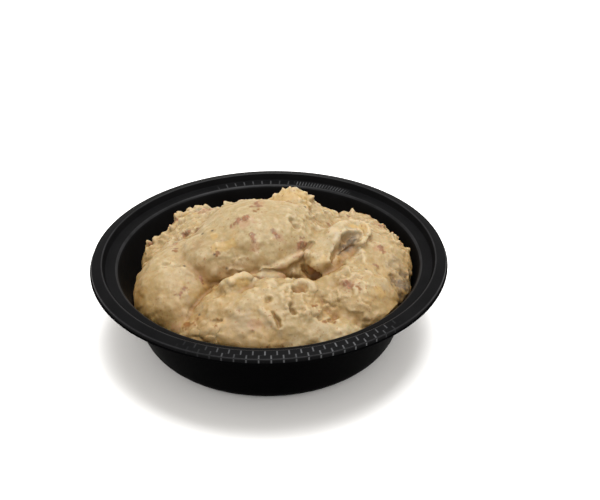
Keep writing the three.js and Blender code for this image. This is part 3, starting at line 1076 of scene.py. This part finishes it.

# %% [markdown]
# Skins, butter, specks and painted shade
#
# Bits of red potato skin are mashed in with their colour bleeding pink into the mash. Butter and browned
# flakes tint patches of it gold or brown, and wet potato looks grey. Painted shade darkens soft patches
# under the top scoop, low by the wall and at the back, some of the grey blots low at the front and by
# the right wall, and, darkest of all, the right flank and the floor of the pocket. Each is a blot: an
# ellipsoid round a place on the heap, with an edge that noise tears up. Pepper specks are small round
# places.

# %% Table of blots
# Each blot: its place seen from above, its half length and half width, and its turn in degrees.
BLOTS = {
    "skin": [
        (-12.5, -8.5, 4.6, 1.5, 5), (-14.6, -8.4, 1.4, 1.8, 0), (-5.6, 7, 3.4, 0.9, 60),
        (-4, 3.2, 1.3, 0.9, 0), (4.1, -17.2, 2.5, 1.2, -40), (-6.2, -21.6, 2.9, 1.1, -55),
        (15.9, -17.7, 2.4, 1.9, 75), (32.2, 11.7, 2.2, 0.9, 35), (-30.5, 25.9, 3.4, 1.5, 0),
        (-14, 16.5, 2.2, 1.2, 0), (-41, 7.6, 4.2, 1.1, -8), (-47.4, -9.6, 1.7, 0.9, 20),
        (-48.3, -1, 1.7, 0.8, 30), (-42.3, -37.8, 2.2, 1.9, 70), (60.5, 23, 2.2, 1.5, -40),
        (57.4, -9.8, 2.4, 1.4, -65), (53.6, -23.2, 2, 0.8, -50), (39.2, -42, 3, 1.4, -25),
        (-6.4, -35, 2, 0.7, 5), (-33.3, -29.7, 0.8, 1.8, 20), (43, 30, 1.7, 1, -30),
        (-20, 34, 3, 2, 35), (10, 40, 2.6, 1.6, -20), (38, 36, 3, 2, 70), (-50, 26, 2.4, 1.6, 40),
        (4, 60, 2.2, 1.5, 15), (-36, 44, 2.6, 1.4, -30), (26, 54, 2.4, 1.2, 10),
        (-18, 50, 3.2, 1.6, 20), (40, 46, 3, 1.6, -40), (14, 64, 2.6, 1.4, 60),
        (-47, 40, 2.8, 1.4, 10), (54, 36, 2.8, 1.6, 0), (-5, 50, 2.2, 1.3, -20),
        (-62, 14, 2.4, 1.2, 70), (69, 4, 2.4, 1.2, 80),
    ],
    "pink": [
        (16, -18.6, 3.6, 3.4, 75), (6.5, -30.6, 3.6, 2.2, 10), (38, -31.5, 3, 1.4, 20),
        (-7.2, -63.3, 3.4, 2.2, 0), (-11.5, -10, 5, 2.6, 10), (-3.6, 6.4, 4.8, 2.4, 55),
        (57, -11, 3.4, 2.4, -65), (39, -41.5, 4.2, 2.4, -25), (-45, -52, 3, 2, 10),
        (4.6, -18.5, 3.2, 2.2, -30), (-42, 6.8, 4.8, 2, -8), (-48, -3, 3, 2.4, 30),
        (-30.5, 25, 4.4, 2.4, 0), (60, 22, 3.2, 2.4, -40), (-6, -22.5, 3.4, 2, -55),
        (-18, 49, 4.4, 2.6, 20), (40, 45, 4.4, 2.6, -40), (26, 53, 3.8, 2.6, 10),
        (-36, 43, 4.2, 2.8, -30), (-47, 39, 4, 2.6, 10),
    ],
    "brown": [
        (-6.2, -2, 1.3, 1.3, 0), (-4.4, 0, 0.9, 1.2, 0), (-25.5, -23.7, 1.1, 1.7, 0),
        (-39.5, -54.5, 4, 2.4, 10), (-47.6, -12, 1.6, 0.8, 0), (43.4, -44.8, 2.2, 0.8, -20),
        (21.3, -51.9, 1.1, 1.7, -60), (26, -59, 1.3, 1, 0), (30.5, -60, 1.2, 0.9, 0),
        (-26, -61.2, 0.8, 1.3, 0), (-26, -57.5, 1.6, 0.8, 0), (-10.5, -10, 1, 0.8, 0),
        (24, 44, 1.6, 1, 40), (-34, 40, 1.4, 1, 0),
    ],
    "gold": [
        (9.6, 22, 9, 8, 0), (17, 19, 7, 6, 0), (1.7, 23.5, 6, 5, 0), (25.4, -27.5, 5, 3, 0),
        (28.5, -27, 3, 2, 0), (50, -1, 4, 3, 40), (43, -1, 3, 2, 0), (-0.7, -50.1, 2, 1.7, 0),
        (-16, -41, 5, 3, 20), (-27, -12, 3, 2, 80), (20, -36, 4, 2.4, 0), (-4, 28, 8, 5, 0),
        (13.5, -9, 2, 1.6, 0), (-24, -20, 4, 2.4, 0), (30, 34, 8, 5, 30), (-44, 30, 7, 5, 0),
        (54, -44, 4, 2, -20), (-36, -34, 3, 2, 0),
    ],
    # painted shade, darkest of all: the right flank and the floor of the pocket
    "deep_painted_shade": [
        (69, -26, 7, 10, 0), (67, -36, 5, 7, 0), (41, -10.5, 5, 2, 54),
    ],
    # painted shade: soft patches under the top scoop, low by the wall and at the back
    "soft_painted_shade": [
        (-42, -48.5, 6, 4, 0), (-35, -53, 4, 5, 0), (-32, -27, 9, 3.6, -10),
        (-19, -29.5, 9, 3.2, 0), (-68, -28, 5, 9, 20), (32, -27.5, 5, 3.6, 20),
        (31.5, -38, 5, 4, 0), (38, -31, 4, 2.6, 0), (-36, -15, 6, 3, 60), (-10, 40, 8, 4, 10),
        (36, 40, 6, 5, 0), (-44, 36, 6, 4, 30),
    ],
    # grey potato, and painted shade where grey blots sit low at the front and by the right wall
    "grey_and_painted_shade": [
        (39.5, -11, 9, 5, 54), (-16, -66, 14, 5, 10), (0.5, -34, 4.5, 3.5, 0), (64, -20, 5, 6, 0),
        (62, -38, 5, 4, 0), (-46, 3, 5, 2, 0), (-22, -64, 3, 2, 0), (-36, -47, 6, 3.6, -30),
        (-14, -60, 6, 3, 0), (24, 30, 5, 3, 0), (-40, 27, 7, 3, 0), (33, -22, 3, 2, 50),
        (-20, 44, 6, 4, 10),
    ],
}
SPECKS = [
    (-33.4, -5.7), (-28.2, -7), (-26, -20.6), (-27, -23), (-34.3, -51.4), (-21, -28), (-17.8, -27),
    (-42, -24), (15.5, -40.4), (20, 12), (-12, 18), (34, 26), (-30, 34), (12, 46), (48, -30),
]


# %% Blots
SPECK_RADIUS = 1.1
SKIN_LIFT = 0.35  # how far a bit of skin stands out of the mash
SHADE_BLUR_ROUNDS = 30  # of averaging, so that the painted shade has no edge


def blot_share(points, blot, tear):
    """1 inside a turned ellipsoid, 0 outside; the tear moves its edge in and out."""
    x, y, long, wide, turn = blot
    centre = np.array([x, y, height_at(points, x, y)])
    q = (points - centre) @ turn_matrix(turn) / np.array([long, wide, max(long, wide)])
    return smoothstep(1.2, 0.7, np.linalg.norm(q, axis=-1) + tear)


def blots(points, name, size, raggedness):
    """The greatest share of any blot of one kind at each point."""
    tear = raggedness * layered(points, size, 3, seed=131)
    share = np.zeros(len(points))
    for blot in BLOTS[name]:
        share = np.maximum(share, blot_share(points, blot, tear))
    return share


# Each stain: its kind of blot, the size of the noise that tears its edge, and how much it tears.
STAINS = [("pink", 3, 1.8), ("brown", 2.4, 1.4), ("gold", 6, 2), ("grey_and_painted_shade", 5, 2), ("deep_painted_shade", 4, 1.6)]
at = points_of(heap)
skin = blots(at, "skin", 2.6, 2.4)
lift = SKIN_LIFT * skin * (0.6 + 0.8 * layered(at, 1.8, 2, seed=141))
move_points(heap, keep_in_bowl(at + normals_of(heap) * lift[:, None]))
store(heap, "skin", skin)
for kind, size, raggedness in STAINS:
    store(heap, kind, blots(at, kind, size, raggedness))
soft_painted_shade = averaged(heap, blots(at, "soft_painted_shade", 7, 1.2)[:, None], SHADE_BLUR_ROUNDS)
store(heap, "soft_painted_shade", soft_painted_shade[:, 0])
specks = [((x, y, height_at(at, x, y)), SPECK_RADIUS) for x, y in SPECKS]
store(heap, "speck", near_places(at, specks, 0.45, 1))
print("blots:", sum(len(kind) for kind in BLOTS.values()), "and", len(SPECKS), "specks")

# %% [markdown]
# Colour of the mash
#
# Mash is translucent cream. Its colour is built like a glaze, one thin layer over the last: noise of
# several sizes first, then the numbers stored on the mesh, which paint shade into its hollows, valleys,
# steep sides and low parts and a highlight onto its crests, then the skins and specks. Light scatters in
# it, so subsurface light softens every shadow, and a fine bump stands for grain too small for the mesh.

# %% Mash material
# Each layer: the stored number that says where it lies, how strong it is, and its red, green and blue.
GLAZES = [
    ("gold", 0.5, (0.31, 0.19, 0.05)),
    # painted shade: soft patches under the top scoop, low by the wall and at the back
    ("soft_painted_shade", 0.7, (0.15, 0.078, 0.022)),
    # grey potato, and partly painted shade low at the front and by the right wall
    ("grey_and_painted_shade", 0.5, (0.17, 0.145, 0.1)),
    # painted highlight: crests paler
    ("crest", 0.5, (0.36, 0.295, 0.185)),
    # painted shade from here on: valleys, steep sides, low parts, carved hollows and pits
    ("valley_shade", 0.75, (0.205, 0.102, 0.018)),
    ("side", 0.6, (0.22, 0.115, 0.023)),
    ("low", 0.45, (0.225, 0.125, 0.03)),
    ("recess_shade", 0.9, (0.26, 0.09, 0.007)),
    ("hollow_shade", 0.727, (0.14, 0.06, 0.01)),
]
SKIN_STAINS = [("pink", 0.45, (0.23, 0.115, 0.06)), ("brown", 0.95, (0.12, 0.042, 0.001))]


def glazed(s, colour, glazes):
    """The colour under each layer in turn."""
    for name, strength, glaze in glazes:
        colour = s.mix(s.attribute(name) * strength, colour, rgb(*glaze))
    return colour


def cream_colour(s, broad, fine):
    """Cream that drifts between two shades, with golden patches, pale crumbs and damp spots."""
    cream = s.mix(broad.clipped(0.35, 0.65), rgb(0.206, 0.145, 0.059), rgb(0.238, 0.182, 0.092))
    golden = s.noise(150, 4, 0.6, seed=9).clipped(0.52, 0.68)
    colour = s.mix(golden * 0.5, cream, rgb(0.262, 0.155, 0.046))
    colour = s.mix(fine.clipped(0.46, 0.74) * 0.42, colour, rgb(0.345, 0.28, 0.175))
    damp = s.noise(620, 4, 0.65, seed=15).clipped(0.5, 0.66)
    return s.mix(damp * 0.3, colour, rgb(0.205, 0.112, 0.026))


def bits_colour(s, colour, broad, fine):
    """Painted shade on the right flank and the pocket's floor, freckles, the stains round the skins, the
    skins themselves and pepper.
    """
    mottled = 0.5 + 0.4 * fine.clipped(0.4, 0.6)
    # painted shade on the right flank and the pocket's floor
    colour = s.mix(s.attribute("deep_painted_shade") * mottled, colour, rgb(0.055, 0.034, 0.016))
    freckles = s.noise(650, 2, 0.5, seed=17).clipped(0.61, 0.68) * broad.clipped(0.4, 0.55)
    colour = s.mix(freckles * 0.7, colour, rgb(0.17, 0.065, 0.012))
    colour = glazed(s, colour, SKIN_STAINS)
    flecks = s.noise(800, 4, 0.65, seed=13)
    red = s.mix(flecks.clipped(0.4, 0.62), rgb(0.055, 0.017, 0.005), rgb(0.19, 0.073, 0.026))
    colour = s.mix(s.attribute("skin") * flecks.clipped(0.3, 0.5) * 0.9, colour, red)
    return s.mix(s.attribute("speck"), colour, rgb(0.03, 0.015, 0.006))


def mash_relief(s, fine):
    """A bump of fine, finer and crumbly noise, strongest where the mash is coarse."""
    grain = s.noise(1400, 3, 0.6, seed=4)
    crumbly = s.noise(620, 4, 0.65, seed=6).clipped(0.42, 0.58)
    height = (0.15 * grain + 1.2 * fine + 0.4 * crumbly) * (0.3 + 0.8 * s.attribute("coarse"))
    return s.bump(height, 0.45, 0.6)


def mash_material():
    s = Shader("mashed_potato")
    broad, fine = s.noise(70, 4, 0.6, seed=1), s.noise(450, 4, 0.6, seed=2)
    colour = glazed(s, cream_colour(s, broad, fine), GLAZES)
    return s.finish(Base_Color=bits_colour(s, colour, broad, fine), Roughness=0.46 + 0.2 * fine,
                    Normal=mash_relief(s, fine), IOR=1.4, Subsurface_Weight=0.4,
                    Subsurface_Radius=(1.0, 0.45, 0.18), Subsurface_Scale=2.8 * MM)


heap.data.materials.append(mash_material())
print("mash:", len(heap.data.materials[0].node_tree.nodes), "shader nodes")

# %% [markdown]
# Joining the frame
#
# Nothing on this object moves, so both pieces ride on its one body. Each takes the place of the plain
# solid that it was shaped after, and gets a slot so that its material can be changed on its own.

# %% Ride and replace
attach(bowl, "root")
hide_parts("bowl")
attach(heap, "root")
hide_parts("mashed_potato")

# %% [markdown]
# Floor and light
#
# Food is usually shown on a pale table under a window or a soft box. One large soft light above and a
# little behind the bowl gives gentle shadows, a weak one fills them from the front, and a warm white
# world does the rest. A sky texture would do too, but plain values are easier to balance.

# %% Floor and light
FLOOR_REACH = 3000
BOWL_MIDDLE = (0, 0, 0.04)  # what both lights are aimed at, in metres


def add_floor():
    """One wide square, which is stage and not part of the object."""
    corners = np.array([[-1, -1, 0], [1, -1, 0], [1, 1, 0], [-1, 1, 0]], float) * FLOOR_REACH
    floor = mesh_piece("floor", corners, np.array([[0, 1, 2, 3]]))
    s = Shader("pale_floor")
    floor.data.materials.append(s.finish(Base_Color=rgb(0.94, 0.94, 0.94), Roughness=0.8))


def add_area(name, place, aim, size, power):
    """A rectangular light at a place in metres, whose back points away from its aim."""
    data = bpy.data.lights.new(name, "AREA")
    data.shape = "RECTANGLE"
    data.size, data.size_y = size
    data.energy = power
    lamp = bpy.data.objects.new(name, data)
    back = (Vector(place) - Vector(aim)).normalized()
    turned = back.to_track_quat("Z", "Y").to_matrix().to_4x4()
    lamp.matrix_world = Matrix.Translation(Vector(place)) @ turned
    bpy.context.scene.collection.objects.link(lamp)


def add_world(colour, strength):
    """Even light of one colour from all round."""
    world = bpy.data.worlds.new("studio")
    world.use_nodes = True
    background = world.node_tree.nodes["Background"]
    background.inputs["Color"].default_value = colour
    background.inputs["Strength"].default_value = strength
    bpy.context.scene.world = world


add_floor()
add_world(rgb(1.0, 0.97, 0.925), 1.12)
add_area("key", (0.15, 0.25, 2.1), BOWL_MIDDLE, (1.3, 1.3), 70)
add_area("front_fill", (0.1, -2.2, 1.1), BOWL_MIDDLE, (1.6, 0.8), 8)
bpy.context.scene.view_settings.view_transform = "Standard"
